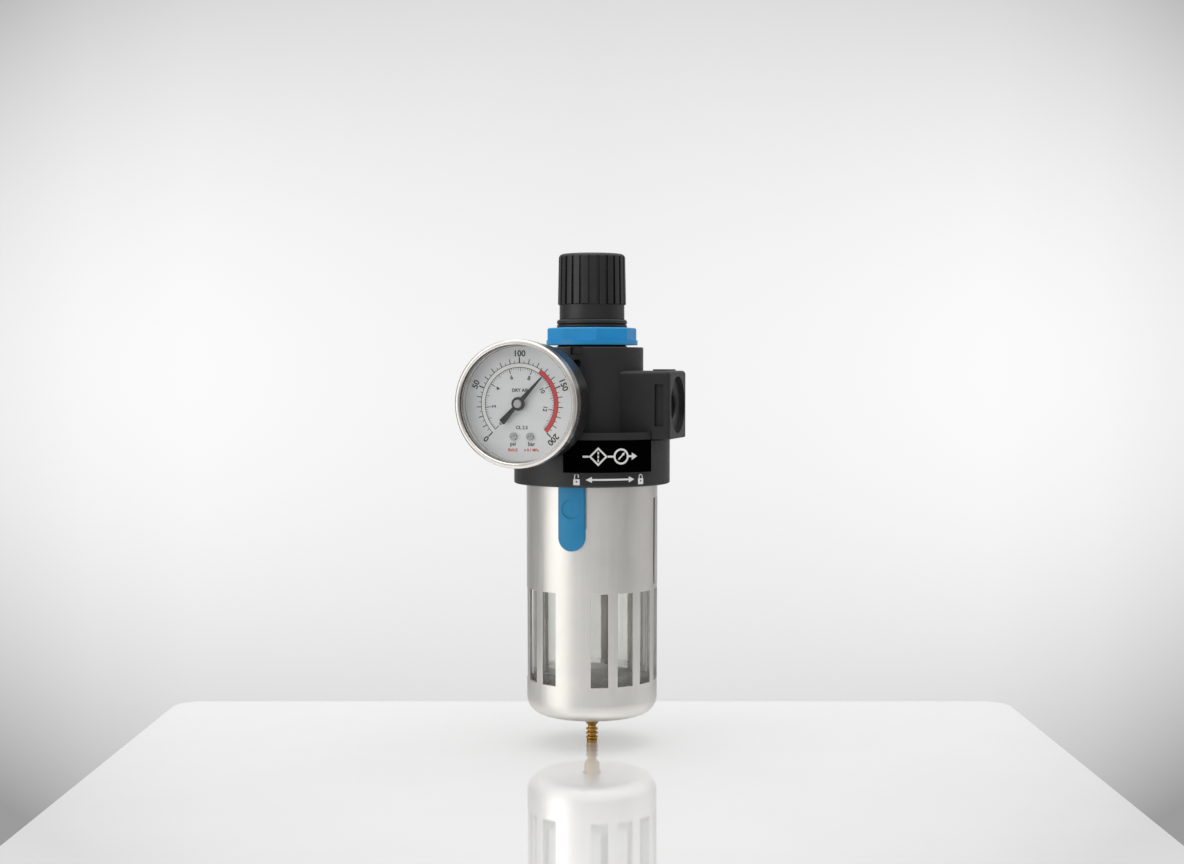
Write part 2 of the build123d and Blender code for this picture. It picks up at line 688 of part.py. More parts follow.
with BuildPart() as drain_stem:
    with BuildSketch(Plane.XZ):
        with BuildLine():
            Polyline(
                (0.9, -144.0),
                (2.15, -144.0),
                (2.15, -156.1),
                (3.35, -156.5),
                (3.35, -161.0),
                (1.75, -163.0),
                (1.75, -163.7),
                (2.5, -164.1),
                (2.5, -164.8),
                (1.75, -165.1),
                (1.75, -165.5),
                (2.5, -165.9),
                (2.5, -166.6),
                (1.75, -166.9),
                (1.75, -167.3),
                (2.5, -167.7),
                (2.5, -168.4),
                (1.9, -168.7),
                (2.4, -169.1),
                (2.2, drain_tip),
                (0.9, drain_tip),
                close=True,
            )
        make_face()
    revolve(axis=Axis.Z)
    with Locations((0, 0, -148.9)):
        Cylinder(5.0, 1.2, align=above)
        Cylinder(0.9, 3.0, align=above, mode=Mode.SUBTRACT)
    with Locations((0, 0, -145.5)):
        Box(6.0, 0.9, 0.9, mode=Mode.SUBTRACT)
drain_stem.part.label = "drain_stem"
export_step(drain_stem.part, "parts/drain_stem.step")

with BuildPart() as drain_seal:
    with BuildSketch(Plane.XY.offset(-150.1)):
        Circle(4.6)
        Circle(2.15 + snug, mode=Mode.SUBTRACT)
    extrude(amount=1.2)
drain_seal.part.label = "drain_seal"
export_step(drain_seal.part, "parts/drain_seal.step")

with BuildPart() as drain_spring:
    with BuildLine() as coil:
        Helix(pitch=1.8, height=7.6, radius=3.7, center=(0, 0, -147.2))
    with BuildSketch(Plane(origin=coil.line @ 0, z_dir=coil.line % 0)):
        Circle(0.4)
    sweep(path=coil.line, is_frenet=True)
drain_spring.part.label = "drain_spring"
export_step(drain_spring.part, "parts/drain_spring.step")

with BuildPart() as drain_cage:
    with Locations((0, 0, bowl_floor + 1.4)):
        Cylinder(7.5, 13.2, align=above)
        Cylinder(6.3, 11.2, align=above, mode=Mode.SUBTRACT)
    with Locations((0, 0, -146.0)):
        Box(20.0, 3.0, 5.0, mode=Mode.SUBTRACT)
        Box(3.0, 20.0, 5.0, mode=Mode.SUBTRACT)
drain_cage.part.label = "drain_cage"
export_step(drain_cage.part, "parts/drain_cage.step")

# ---------------------------------------------------------------- gauge housing
with BuildPart() as gauge_socket:
    with BuildSketch(gauge_plane.offset(22.0)):
        Circle(4.8)
    extrude(amount=10.0)
    with BuildSketch(gauge_plane.offset(boss_face + 0.3)):
        RegularPolygon(7.0, 6, major_radius=False)
    extrude(amount=7.7)
    with BuildSketch(gauge_plane.offset(39.0)):
        Circle(6.4)
    extrude(amount=gauge_back - 39.0)
    with BuildSketch(gauge_plane.offset(gauge_back)):
        Circle(5.0)
    extrude(amount=1.2)
    with BuildSketch(gauge_plane.offset(gauge_back + 1.2)):
        with Locations((0, -8.0)):
            Rectangle(14.0, 28.0)
    extrude(amount=2.0)
    with BuildSketch(gauge_plane.offset(gauge_back + 3.2)):
        with Locations((-3.2, -20.0)):
            Rectangle(6.4, 3.6)
    extrude(amount=7.2)
    with BuildSketch(gauge_plane.offset(22.0)):
        Circle(1.2)
    extrude(amount=21.5, mode=Mode.SUBTRACT)
gauge_socket.part.label = "gauge_socket"
export_step(gauge_socket.part, "parts/gauge_socket.step")

with BuildPart() as gauge_case:
    with BuildSketch(gauge_section):
        with BuildLine():
            Polyline(
                (5.0 + snug, -gauge_back),
                (gauge_case_r - 1.5, -gauge_back),
                (gauge_case_r, -gauge_back - 1.5),
                (gauge_case_r, -60.0),
                (gauge_case_r - 1.2, -60.0),
                (gauge_case_r - 1.2, -gauge_back - 1.2),
                (5.0 + snug, -gauge_back - 1.2),
                close=True,
            )
        make_face()
    revolve(axis=gauge_axis)
gauge_case.part.label = "gauge_case"
export_step(gauge_case.part, "parts/gauge_case.step")

with BuildPart() as gauge_bezel:
    with BuildSketch(gauge_section):
        with BuildLine():
            Line((24.6, -57.6), (25.3, -57.6))
            Line((25.3, -57.6), (bezel_r, -58.0))
            Line((bezel_r, -58.0), (bezel_r, -gauge_front + 1.3))
            RadiusArc((bezel_r, -gauge_front + 1.3), (bezel_r - 1.3, -gauge_front), 1.3)
            Line((bezel_r - 1.3, -gauge_front), (23.9, -gauge_front))
            Line((23.9, -gauge_front), (23.5, -gauge_front + 0.4))
            Line((23.5, -gauge_front + 0.4), (23.5, -gauge_front + 1.1))
            Line((23.5, -gauge_front + 1.1), (24.6, -gauge_front + 1.1))
            Line((24.6, -gauge_front + 1.1), (24.6, -57.6))
        make_face()
    revolve(axis=gauge_axis)
gauge_bezel.part.label = "gauge_bezel"
export_step(gauge_bezel.part, "parts/gauge_bezel.step")

with BuildPart() as gauge_gasket:
    with BuildSketch(gauge_plane.offset(60.0)):
        Circle(24.5)
        Circle(23.4, mode=Mode.SUBTRACT)
    extrude(amount=1.2)
gauge_gasket.part.label = "gauge_gasket"
export_step(gauge_gasket.part, "parts/gauge_gasket.step")

with BuildPart() as gauge_lens:
    with BuildSketch(gauge_plane.offset(61.2)):
        Circle(24.5)
    extrude(amount=1.7)
gauge_lens.part.label = "gauge_lens"
export_step(gauge_lens.part, "parts/gauge_lens.step")

with BuildPart() as gauge_dial:
    with BuildSketch(gauge_plane.offset(dial_face - 0.8)):
        Circle(dial_r)
        Circle(1.6, mode=Mode.SUBTRACT)
        with Locations((-2.5, -13.0), (4.5, -13.0)):
            Circle(0.85, mode=Mode.SUBTRACT)
    extrude(amount=0.8)
gauge_dial.part.label = "gauge_dial"
export_step(gauge_dial.part, "parts/gauge_dial.step")

with BuildPart() as dial_screws:
    with BuildSketch(gauge_plane.offset(dial_face)):
        with Locations((-2.5, -13.0), (4.5, -13.0)):
            Circle(1.5)
    extrude(amount=0.9)
    with BuildSketch(gauge_plane.offset(dial_face - 3.0)):
        with Locations((-2.5, -13.0), (4.5, -13.0)):
            Circle(0.7)
    extrude(amount=3.0)
    with BuildSketch(gauge_plane.offset(dial_face + 0.5)):
        with Locations((-2.5, -13.0), (4.5, -13.0)):
            Rectangle(3.2, 0.5, rotation=30)
    extrude(amount=1.0, mode=Mode.SUBTRACT)
dial_screws.part.label = "dial_screws"
export_step(dial_screws.part, "parts/dial_screws.step")

# ---------------------------------------------------------------- gauge movement
with BuildPart() as movement_back_plate:
    with BuildSketch(gauge_plane.offset(44.5)):
        Circle(17.8)
        Circle(0.6 + fit, mode=Mode.SUBTRACT)
        with Locations((sector_x, sector_y)):
            Circle(0.8 + fit, mode=Mode.SUBTRACT)
        with Locations((-3.2, -20.0)):
            Rectangle(7.4, 4.6, mode=Mode.SUBTRACT)
    extrude(amount=1.0)
    # pillars to the front plate
    with BuildSketch(gauge_plane.offset(45.5)):
        with Locations((-8.0, -13.0), (-8.0, 6.0), (11.0, 6.0)):
            Circle(1.1)
    extrude(amount=6.5)
movement_back_plate.part.label = "movement_back_plate"
export_step(movement_back_plate.part, "parts/movement_back_plate.step")

with BuildPart() as movement_front_plate:
    with BuildSketch(gauge_plane.offset(52.0)):
        Circle(17.8)
        Circle(0.6 + fit, mode=Mode.SUBTRACT)
        with Locations((sector_x, sector_y)):
            Circle(0.8 + fit, mode=Mode.SUBTRACT)
        with Locations((-3.2, -20.0)):
            Rectangle(7.4, 4.6, mode=Mode.SUBTRACT)
        with Locations((15.6, -12.0)):
            Circle(5.0, mode=Mode.SUBTRACT)
    extrude(amount=1.0)
    # posts that carry the dial
    with BuildSketch(gauge_plane.offset(53.0)):
        with Locations((-2.5, -13.0), (4.5, -13.0)):
            Circle(1.6)
            Circle(0.7 + snug, mode=Mode.SUBTRACT)
    extrude(amount=dial_face - 0.8 - 53.0)
movement_front_plate.part.label = "movement_front_plate"
export_step(movement_front_plate.part, "parts/movement_front_plate.step")

with BuildPart() as bourdon_tube:
    with BuildSketch(gauge_plane.offset(46.0)):
        add(ring_sector(18.4, 20.6, 70, 345))
    extrude(amount=5.6)
    with BuildSketch(gauge_plane.offset(46.4)):
        add(ring_sector(18.8, 20.2, 74, 346))
    extrude(amount=4.8, mode=Mode.SUBTRACT)
    # eye at the free end
    with BuildSketch(gauge_plane.offset(51.0)):
        add(ring_sector(18.6, 20.4, 67, 74))
    extrude(amount=0.6)
bourdon_tube.part.label = "bourdon_tube"
export_step(bourdon_tube.part, "parts/bourdon_tube.step")

with BuildPart() as hairspring:
    with BuildSketch(gauge_plane.offset(46.2)):
        with BuildLine() as spiral:
            spiral_points = []
            for step in range(61):
                spiral_r = 1.5 + 3.6 * step / 60
                spiral_angle = math.radians(18 * step)
                spiral_points.append((spiral_r * math.cos(spiral_angle), spiral_r * math.sin(spiral_angle)))
            Spline(*spiral_points)
        trace(line_width=0.22)
    extrude(amount=0.7)
hairspring.part.label = "hairspring"
export_step(hairspring.part, "parts/hairspring.step")

with BuildPart() as pinion_shaft:
    with BuildSketch(gauge_plane.offset(44.7)):
        Circle(0.6)
    extrude(amount=14.0)
    with BuildSketch(gauge_plane.offset(46.0)):
        Circle(1.1)
    extrude(amount=1.2)
    with BuildSketch(gauge_plane.offset(47.6)):
        Circle(pinion_pitch_r - 1.15 * gear_module)
        for tooth in range(pinion_teeth):
            add(gear_tooth(pinion_pitch_r, pinion_teeth, sector_turn + 180 + 36 * tooth))
    extrude(amount=2.2)
pinion_shaft.part.label = "pinion_shaft"
export_step(pinion_shaft.part, "parts/pinion_shaft.step")

with BuildPart() as sector_gear:
    sector_plane = Plane(
        origin=(gauge_x + sector_x, -48.1, gauge_z + sector_y), x_dir=(1, 0, 0), z_dir=(0, -1, 0)
    )
    with BuildSketch(sector_plane):
        add(ring_sector(sector_pitch_r - 2.6, sector_pitch_r - 1.15 * gear_module, 190.0, 240.0))
        for tooth in range(-3, 7):
            add(gear_tooth(sector_pitch_r, sector_teeth_full, sector_turn + 5 * (tooth - 0.5)))
        with BuildLine():
            Polyline((-1.6, 0), turned(222, 12.4), turned(206, 12.4), (1.6, 0), close=True)
        make_face()
        Circle(2.0)
        # tail to the link
        with BuildLine():
            Polyline((0, -1.6), turned(100, 7.0), turned(110, 7.0), (0, 1.6), close=True)
        make_face()
        with Locations(turned(105, 7.0)):
            Circle(1.1)
    extrude(amount=1.2)
    # arbor and the pin of the link
    with BuildSketch(sector_plane.offset(-3.4)):
        Circle(0.8)
    extrude(amount=8.2)
    with BuildSketch(sector_plane.offset(0.6)):
        with Locations(turned(105, 7.0)):
            Circle(0.5)
    extrude(amount=5.5)
sector_gear.part.label = "sector_gear"
export_step(sector_gear.part, "parts/sector_gear.step")

with BuildPart() as gauge_link:
    link_foot = turned(105, 7.0)
    link_head = (link_foot[0] + 3.3, link_foot[1] + 5.7)
    with BuildSketch(sector_plane.offset(5.2)):
        with BuildLine():
            Line(link_foot, link_head)
        trace(line_width=1.2)
        with Locations(link_foot, link_head):
            Circle(1.1)
        with Locations(link_foot, link_head):
            Circle(0.5 + fit, mode=Mode.SUBTRACT)
    extrude(amount=0.6)
gauge_link.part.label = "gauge_link"
export_step(gauge_link.part, "parts/gauge_link.step")

# ---------------------------------------------------------------- pointer
with BuildPart() as gauge_pointer:
    with BuildSketch(gauge_plane.offset(59.0)):
        with BuildLine():
            needle = [(-0.9, 2.2), (-0.25, 14.5), (0.25, 14.5), (0.9, 2.2)]
            tail = [(0.75, -2.2), (1.3, -10.1), (-1.3, -10.1), (-0.75, -2.2)]
            lean = math.radians(pointer_turn)
            outline = []
            for x, y in needle + tail:
                leaned_x = x * math.cos(lean) + y * math.sin(lean)
                leaned_y = y * math.cos(lean) - x * math.sin(lean)
                outline.append((leaned_x, leaned_y))
            Polyline(*outline, close=True)
        make_face()
        Circle(2.7)
        Circle(1.7 + snug, mode=Mode.SUBTRACT)
    extrude(amount=0.6)
gauge_pointer.part.label = "gauge_pointer"
export_step(gauge_pointer.part, "parts/gauge_pointer.step")

with BuildPart() as pointer_bush:
    with BuildSketch(gauge_plane.offset(58.2)):
        Circle(1.7)
    extrude(amount=2.0)
    with BuildSketch(gauge_plane.offset(58.2)):
        Circle(0.6 + snug)
    extrude(amount=0.6, mode=Mode.SUBTRACT)
    fillet(pointer_bush.edges().group_by(Axis.Y)[0], 0.3)
pointer_bush.part.label = "pointer_bush"
export_step(pointer_bush.part, "parts/pointer_bush.step")

# ---------------------------------------------------------------- rear plug and label
with BuildPart() as gauge_port_plug:
    with BuildSketch(gauge_plane.offset(-boss_face + 0.2)):
        Circle(4.8)
    extrude(amount=9.0)
    with BuildSketch(gauge_plane.offset(-boss_face + 0.2)):
        RegularPolygon(2.5, 6, major_radius=False)
    extrude(amount=4.5, mode=Mode.SUBTRACT)
gauge_port_plug.part.label = "gauge_port_plug"
export_step(gauge_port_plug.part, "parts/gauge_port_plug.step")

with BuildPart() as label_plate:
    with BuildSketch(Plane.XY.offset(-51.7)):
        add(ring_sector(pad_r, pad_r + 0.2, pad_start_turn + 0.3, pad_end_turn - 0.3))
    extrude(amount=13.3)
label_plate.part.label = "label_plate"
export_step(label_plate.part, "parts/label_plate.step")
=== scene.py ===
"""Looks, stage and camera for the air pressure regulator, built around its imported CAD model."""

import math

import bmesh
import bpy
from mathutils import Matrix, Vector
from mathutils.geometry import tessellate_polygon


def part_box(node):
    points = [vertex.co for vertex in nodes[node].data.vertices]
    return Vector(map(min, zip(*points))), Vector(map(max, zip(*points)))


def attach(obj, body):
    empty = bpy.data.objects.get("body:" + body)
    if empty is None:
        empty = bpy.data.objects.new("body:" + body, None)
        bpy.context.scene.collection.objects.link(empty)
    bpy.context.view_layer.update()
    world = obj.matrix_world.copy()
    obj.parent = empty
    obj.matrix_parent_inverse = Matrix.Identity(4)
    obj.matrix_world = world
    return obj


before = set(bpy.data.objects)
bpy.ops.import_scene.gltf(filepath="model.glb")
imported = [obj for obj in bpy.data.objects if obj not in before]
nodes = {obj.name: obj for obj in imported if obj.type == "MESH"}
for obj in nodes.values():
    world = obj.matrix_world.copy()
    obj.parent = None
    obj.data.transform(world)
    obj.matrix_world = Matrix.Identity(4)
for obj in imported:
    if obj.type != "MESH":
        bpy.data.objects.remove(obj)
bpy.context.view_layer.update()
scene = bpy.context.scene
scene.view_settings.view_transform = "Standard"

MM = 0.001
VIEW_TURN = math.radians(17.0)


# ---------------------------------------------------------------- node helpers
def math_node(tree, operation, a, b=0.0):
    """Output of a Math node whose inputs are numbers or other nodes' outputs."""
    node = tree.nodes.new("ShaderNodeMath")
    node.operation = operation
    for socket, value in zip(node.inputs, (a, b)):
        if isinstance(value, (int, float)):
            socket.default_value = value
        else:
            tree.links.new(value, socket)
    return node.outputs[0]


def map_range(tree, factor, from_min, from_max, to_min, to_max):
    """Output of a Map Range node."""
    node = tree.nodes.new("ShaderNodeMapRange")
    tree.links.new(factor, node.inputs["Value"])
    limits = {"From Min": from_min, "From Max": from_max, "To Min": to_min, "To Max": to_max}
    for name, value in limits.items():
        node.inputs[name].default_value = value
    return node.outputs["Result"]


def mix_colours(tree, factor, a, b):
    """Output of a Mix node between two colours, each a triple or another node's output."""
    node = tree.nodes.new("ShaderNodeMix")
    node.data_type = "RGBA"
    tree.links.new(factor, node.inputs["Factor"])
    for socket, value in zip([s for s in node.inputs if s.type == "RGBA"], (a, b)):
        if isinstance(value, tuple):
            socket.default_value = (*value, 1.0)
        else:
            tree.links.new(value, socket)
    return [s for s in node.outputs if s.type == "RGBA"][0]


# ---------------------------------------------------------------- materials
class Finish:
    """A procedural material on one Principled shader."""

    def __init__(self, name, metallic=0.0, **sockets):
        self.material = bpy.data.materials.new(name)
        self.material.use_nodes = True
        self.tree = self.material.node_tree
        self.shader = self.tree.nodes["Principled BSDF"]
        self.shader.inputs["Metallic"].default_value = metallic
        for socket, value in sockets.items():
            self.shader.inputs[socket.replace("_", " ")].default_value = value
        self.place = self.tree.nodes.new("ShaderNodeTexCoord").outputs["Object"]
        self.normal = None

    def math(self, operation, a, b=0.0):
        return math_node(self.tree, operation, a, b)

    def stretched(self, x, y, z):
        """The place on the piece, stretched along its axes."""
        node = self.tree.nodes.new("ShaderNodeVectorMath")
        node.operation = "MULTIPLY"
        self.tree.links.new(self.place, node.inputs[0])
        node.inputs[1].default_value = (x, y, z)
        return node.outputs[0]

    def lathe(self, centre, axis, along=1.0, across=1.0):
        """Distance from an axis and distance along it, for turned marks."""
        shift = self.tree.nodes.new("ShaderNodeVectorMath")
        shift.operation = "SUBTRACT"
        self.tree.links.new(self.place, shift.inputs[0])
        shift.inputs[1].default_value = centre
        parts = self.tree.nodes.new("ShaderNodeSeparateXYZ")
        self.tree.links.new(shift.outputs[0], parts.inputs[0])
        names = [n for n in "XYZ" if n != axis]
        squares = [self.math("MULTIPLY", parts.outputs[n], parts.outputs[n]) for n in names]
        radius = self.math("SQRT", self.math("ADD", *squares))
        joined = self.tree.nodes.new("ShaderNodeCombineXYZ")
        self.tree.links.new(self.math("MULTIPLY", radius, across), joined.inputs[0])
        self.tree.links.new(self.math("MULTIPLY", parts.outputs[axis], along), joined.inputs[1])
        return joined.outputs[0]

    def noise(self, scale, detail=3.0, roughness=0.55, place=None):
        node = self.tree.nodes.new("ShaderNodeTexNoise")
        node.inputs["Scale"].default_value = scale
        node.inputs["Detail"].default_value = detail
        node.inputs["Roughness"].default_value = roughness
        self.tree.links.new(place or self.place, node.inputs["Vector"])
        return node.outputs["Fac"]

    def cells(self, scale, place=None):
        node = self.tree.nodes.new("ShaderNodeTexVoronoi")
        node.inputs["Scale"].default_value = scale
        self.tree.links.new(place or self.place, node.inputs["Vector"])
        return node.outputs["Distance"]

    def spread(self, factor, low, high, start=0.3, end=0.7):
        return map_range(self.tree, factor, start, end, low, high)

    def colour(self, factor, dark, light, start=0.3, end=0.7):
        result = mix_colours(self.tree, self.spread(factor, 0.0, 1.0, start, end), dark, light)
        self.tree.links.new(result, self.shader.inputs["Base Color"])
        return self

    def roughness(self, factor, low, high):
        self.tree.links.new(self.spread(factor, low, high), self.shader.inputs["Roughness"])
        return self

    def soften(self, radius):
        """Edges catch the light as if rounded by this radius."""
        node = self.tree.nodes.new("ShaderNodeBevel")
        node.samples = 4
        node.inputs["Radius"].default_value = radius
        self.normal = node.outputs["Normal"]
        return self

    def let_lamps_through(self, share=1.0):
        """Lamps light what is behind this glass."""
        see = self.tree.nodes.new("ShaderNodeBsdfTransparent")
        see.inputs["Color"].default_value = (share, share, share, 1.0)
        mix = self.tree.nodes.new("ShaderNodeMixShader")
        path = self.tree.nodes.new("ShaderNodeLightPath")
        self.tree.links.new(path.outputs["Is Shadow Ray"], mix.inputs["Fac"])
        self.tree.links.new(self.shader.outputs[0], mix.inputs[1])
        self.tree.links.new(see.outputs[0], mix.inputs[2])
        out = self.tree.nodes["Material Output"]
        self.tree.links.new(mix.outputs[0], out.inputs["Surface"])
        return self

    def bump(self, height, distance, strength=1.0):
        node = self.tree.nodes.new("ShaderNodeBump")
        node.inputs["Distance"].default_value = distance
        node.inputs["Strength"].default_value = strength
        self.tree.links.new(height, node.inputs["Height"])
        if self.normal:
            self.tree.links.new(self.normal, node.inputs["Normal"])
        self.normal = node.outputs["Normal"]
        self.tree.links.new(self.normal, self.shader.inputs["Normal"])
        return self


def plastic(name, dark, light, rough, grain_scale, grain_depth, soften=0.0002, **sockets):
    """Moulded plastic or enamel: fine grain, slow colour drift, roughness that varies."""
    f = Finish(name, **sockets)
    f.soften(soften)
    f.colour(f.noise(90.0, 4.0), dark, light)
    f.roughness(f.noise(700.0, 3.0), *rough)
    f.bump(f.noise(grain_scale, 2.0), grain_depth)
    return f.material


def turned_metal(name, dark, light, rough, centre=(0, 0, 0), axis="Z", rings=5000.0):
    """Metal with the fine rings that a lathe leaves round an axis."""
    f = Finish(name, metallic=1.0)
    f.soften(0.00015)
    marks = f.noise(1.0, 3.0, 0.6, f.lathe(centre, axis, rings, rings))
    cloud = f.noise(260.0, 4.0)
    f.colour(f.math("ADD", f.math("MULTIPLY", marks, 0.5), f.math("MULTIPLY", cloud, 0.5)), dark, light)
    f.roughness(marks, *rough)
    f.bump(marks, 0.00001)
    f.bump(cloud, 0.00002, 0.4)
    return f.material


gauge_centre = (-0.0124, 0.0, -0.023)

body_black = plastic(
    "body_black", (0.0085, 0.0085, 0.009), (0.014, 0.0138, 0.0135), (0.42, 0.52), 2200.0, 0.00004, 0.0001
)
knob_black = plastic(
    "knob_black", (0.009, 0.009, 0.0092), (0.0135, 0.0133, 0.013), (0.36, 0.46), 2600.0, 0.00003
)
case_black = plastic(
    "case_black", (0.007, 0.007, 0.008), (0.011, 0.011, 0.012), (0.26, 0.34), 900.0, 0.00002
)
blue = plastic(
    "blue", (0.003, 0.275, 0.61), (0.005, 0.305, 0.67), (0.36, 0.46), 2600.0, 0.00002, 0.00012
)
latch_blue = plastic(
    "latch_blue", (0.002, 0.195, 0.40), (0.004, 0.218, 0.44), (0.38, 0.48), 2600.0, 0.00002
)
rubber_black = plastic(
    "rubber_black", (0.012, 0.012, 0.012), (0.02, 0.02, 0.02), (0.6, 0.75), 1800.0, 0.00003
)
white_plastic = plastic(
    "white_plastic", (0.68, 0.67, 0.64), (0.76, 0.75, 0.72), (0.38, 0.5), 1500.0, 0.00002
)
pointer_black = plastic(
    "pointer_black", (0.004, 0.004, 0.004), (0.008, 0.008, 0.008), (0.4, 0.55), 3500.0,
    0.00001, 0.00005, Specular_IOR_Level=0.25,
)
label_black = plastic(
    "label_black", (0.0008, 0.0006, 0.0006), (0.0014, 0.0011, 0.0011), (0.3, 0.38), 900.0,
    0.000006, 0.00005, Specular_IOR_Level=0.0,
)
dial_white = plastic(
    "dial_white", (0.68, 0.69, 0.70), (0.73, 0.735, 0.74), (0.3, 0.42), 1800.0, 0.000008, 0.00005
)
print_black = plastic(
    "print_black", (0.005, 0.005, 0.006), (0.010, 0.010, 0.011), (0.4, 0.55), 4000.0,
    0.000004, 0.00002, Specular_IOR_Level=0.25,
)
print_red = plastic(
    "print_red", (0.56, 0.009, 0.010), (0.64, 0.014, 0.014), (0.4, 0.55), 4000.0, 0.000004, 0.00002
)
print_white = plastic(
    "print_white", (0.74, 0.74, 0.73), (0.82, 0.82, 0.81), (0.4, 0.55), 4000.0, 0.000004, 0.00002
)

brass = turned_metal("brass", (0.36, 0.20, 0.042), (0.60, 0.37, 0.10), (0.24, 0.36))
gauge_brass = turned_metal(
    "gauge_brass", (0.52, 0.33, 0.09), (0.66, 0.44, 0.15), (0.24, 0.34), gauge_centre, "Y"
)
zinc_steel = turned_metal(
    "zinc_steel", (0.56, 0.56, 0.57), (0.70, 0.70, 0.71), (0.22, 0.34), gauge_centre, "Y"
)
dark_zinc = turned_metal(
    "dark_zinc", (0.30, 0.30, 0.30), (0.44, 0.44, 0.44), (0.3, 0.42), gauge_centre, "Y"
)
spring_steel = turned_metal("spring_steel", (0.50, 0.50, 0.51), (0.66, 0.66, 0.67), (0.22, 0.32))
bezel_steel = turned_metal(
    "bezel_steel", (0.64, 0.61, 0.58), (0.75, 0.715, 0.685), (0.22, 0.30), gauge_centre, "Y", 2500.0
)


def satin_aluminium():
    """Bead-blasted and anodised tube: even satin grain with faint marks along the drawing direction."""
    f = Finish("guard_metal", metallic=1.0)
    f.soften(0.0003)
    streaks = f.noise(1.0, 3.0, 0.6, f.stretched(1500.0, 1500.0, 30.0))
    cloud = f.noise(60.0, 4.0)
    mixed = f.math("ADD", f.math("MULTIPLY", streaks, 0.35), f.math("MULTIPLY", cloud, 0.65))
    f.colour(mixed, (0.69, 0.675, 0.645), (0.79, 0.77, 0.735))
    f.roughness(streaks, 0.34, 0.44)
    f.bump(f.noise(3200.0, 2.0), 0.000012)
    return f.material


def clear_polycarbonate():
    """Clear moulded bowl with slight flow waves, its lower part textured by the mould."""
    f = Finish("clear_bowl", Transmission_Weight=1.0, IOR=1.58)
    f.colour(f.noise(80.0, 2.0), (0.80, 0.80, 0.775), (0.86, 0.86, 0.835))
    parts = f.tree.nodes.new("ShaderNodeSeparateXYZ")
    f.tree.links.new(f.place, parts.inputs[0])
    textured = f.spread(parts.outputs["Z"], 1.0, 0.0, -0.1385, -0.1365)
    smooth = f.spread(f.noise(500.0, 3.0), 0.02, 0.09)
    rough = f.math("ADD", f.math("MULTIPLY", textured, 0.28), smooth)
    f.tree.links.new(rough, f.shader.inputs["Roughness"])
    f.bump(f.noise(160.0, 2.0), 0.00006, 0.5)
    f.bump(f.math("MULTIPLY", f.cells(1300.0), textured), 0.0004, 0.7)
    f.let_lamps_through(0.92)
    return f.material


def lens_glass():
    """Flat window pane of the gauge, almost without colour."""
    f = Finish("lens_glass", Transmission_Weight=1.0, IOR=1.46)
    f.colour(f.noise(60.0, 2.0), (0.97, 0.98, 0.98), (0.99, 0.99, 0.99))
    f.shader.inputs["Roughness"].default_value = 0.0
    f.bump(f.noise(40.0, 1.0), 0.00001, 0.05)
    f.let_lamps_through(0.96)
    return f.material


def sintered_filter():
    """Sintered porous plastic: pressed grains with dark pores between them."""
    f = Finish("filter_media")
    grains = f.cells(1400.0)
    f.colour(grains, (0.74, 0.73, 0.69), (0.45, 0.44, 0.41), 0.35, 0.75)
    f.roughness(f.noise(600.0), 0.75, 0.9)
    f.bump(grains, 0.00015, 0.8)
    return f.material


finishes = {
    "body": body_black,
    "bonnet": body_black,
    "bonnet_screws": zinc_steel,
    "panel_nut": blue,
    "knob": knob_black,
    "adjusting_screw": brass,
    "spring_seat": brass,
    "regulating_spring": spring_steel,
    "diaphragm": rubber_black,
    "diaphragm_upper_plate": spring_steel,
    "diaphragm_lower_plate": brass,
    "diaphragm_nut": brass,
    "valve_poppet": brass,
    "poppet_seal": rubber_black,
    "poppet_spring": spring_steel,
    "valve_guide": white_plastic,
    "deflector": white_plastic,
    "filter_element": sintered_filter(),
    "baffle": white_plastic,
    "bowl": clear_polycarbonate(),
    "bowl_o_ring": rubber_black,
    "bowl_guard": satin_aluminium(),
    "latch": latch_blue,
    "latch_spring": spring_steel,
    "drain_bush": brass,
    "drain_stem": brass,
    "drain_seal": rubber_black,
    "drain_spring": spring_steel,
    "drain_cage": white_plastic,
    "gauge_socket": gauge_brass,
    "gauge_case": case_black,
    "gauge_bezel": bezel_steel,
    "gauge_gasket": white_plastic,
    "gauge_lens": lens_glass(),
    "gauge_dial": dial_white,
    "dial_screws": dark_zinc,
    "movement_back_plate": gauge_brass,
    "movement_front_plate": gauge_brass,
    "bourdon_tube": gauge_brass,
    "hairspring": spring_steel,
    "pinion_shaft": zinc_steel,
    "sector_gear": gauge_brass,
    "gauge_link": zinc_steel,
    "gauge_pointer": pointer_black,
    "pointer_bush": dark_zinc,
    "gauge_port_plug": gauge_brass,
    "label_plate": label_black,
}
for name, finish in finishes.items():
    nodes[name].material_slots[0].material = finish


# ---------------------------------------------------------------- pieces
def put_in_scene(name, bm, finish):
    """A new object from a bmesh, its faces turned outwards beforehand."""
    mesh = bpy.data.meshes.new(name)
    bm.to_mesh(mesh)
    bm.free()
    mesh.materials.append(finish)
    piece = bpy.data.objects.new(name, mesh)
    scene.collection.objects.link(piece)
    return piece


def join_rows(bm, rows):
    """Quads between neighbouring rows of four points each."""
    for a, b in zip(rows, rows[1:]):
        for j in range(4):
            bm.faces.new((a[j], a[(j + 1) % 4], b[(j + 1) % 4], b[j]))


# ---------------------------------------------------------------- flat prints
def disc(x, y, radius, count=72):
    """Outline of a circle, in millimetres."""
    turns = [2 * math.pi * i / count for i in range(count)]
    return [(x + radius * math.cos(t), y + radius * math.sin(t)) for t in turns]


def stroke(x0, y0, x1, y1, width):
    """Outline of a straight stroke."""
    dx, dy = x1 - x0, y1 - y0
    length = math.hypot(dx, dy)
    nx, ny = -dy / length * width / 2, dx / length * width / 2
    return [(x0 - nx, y0 - ny), (x1 - nx, y1 - ny), (x1 + nx, y1 + ny), (x0 + nx, y0 + ny)]


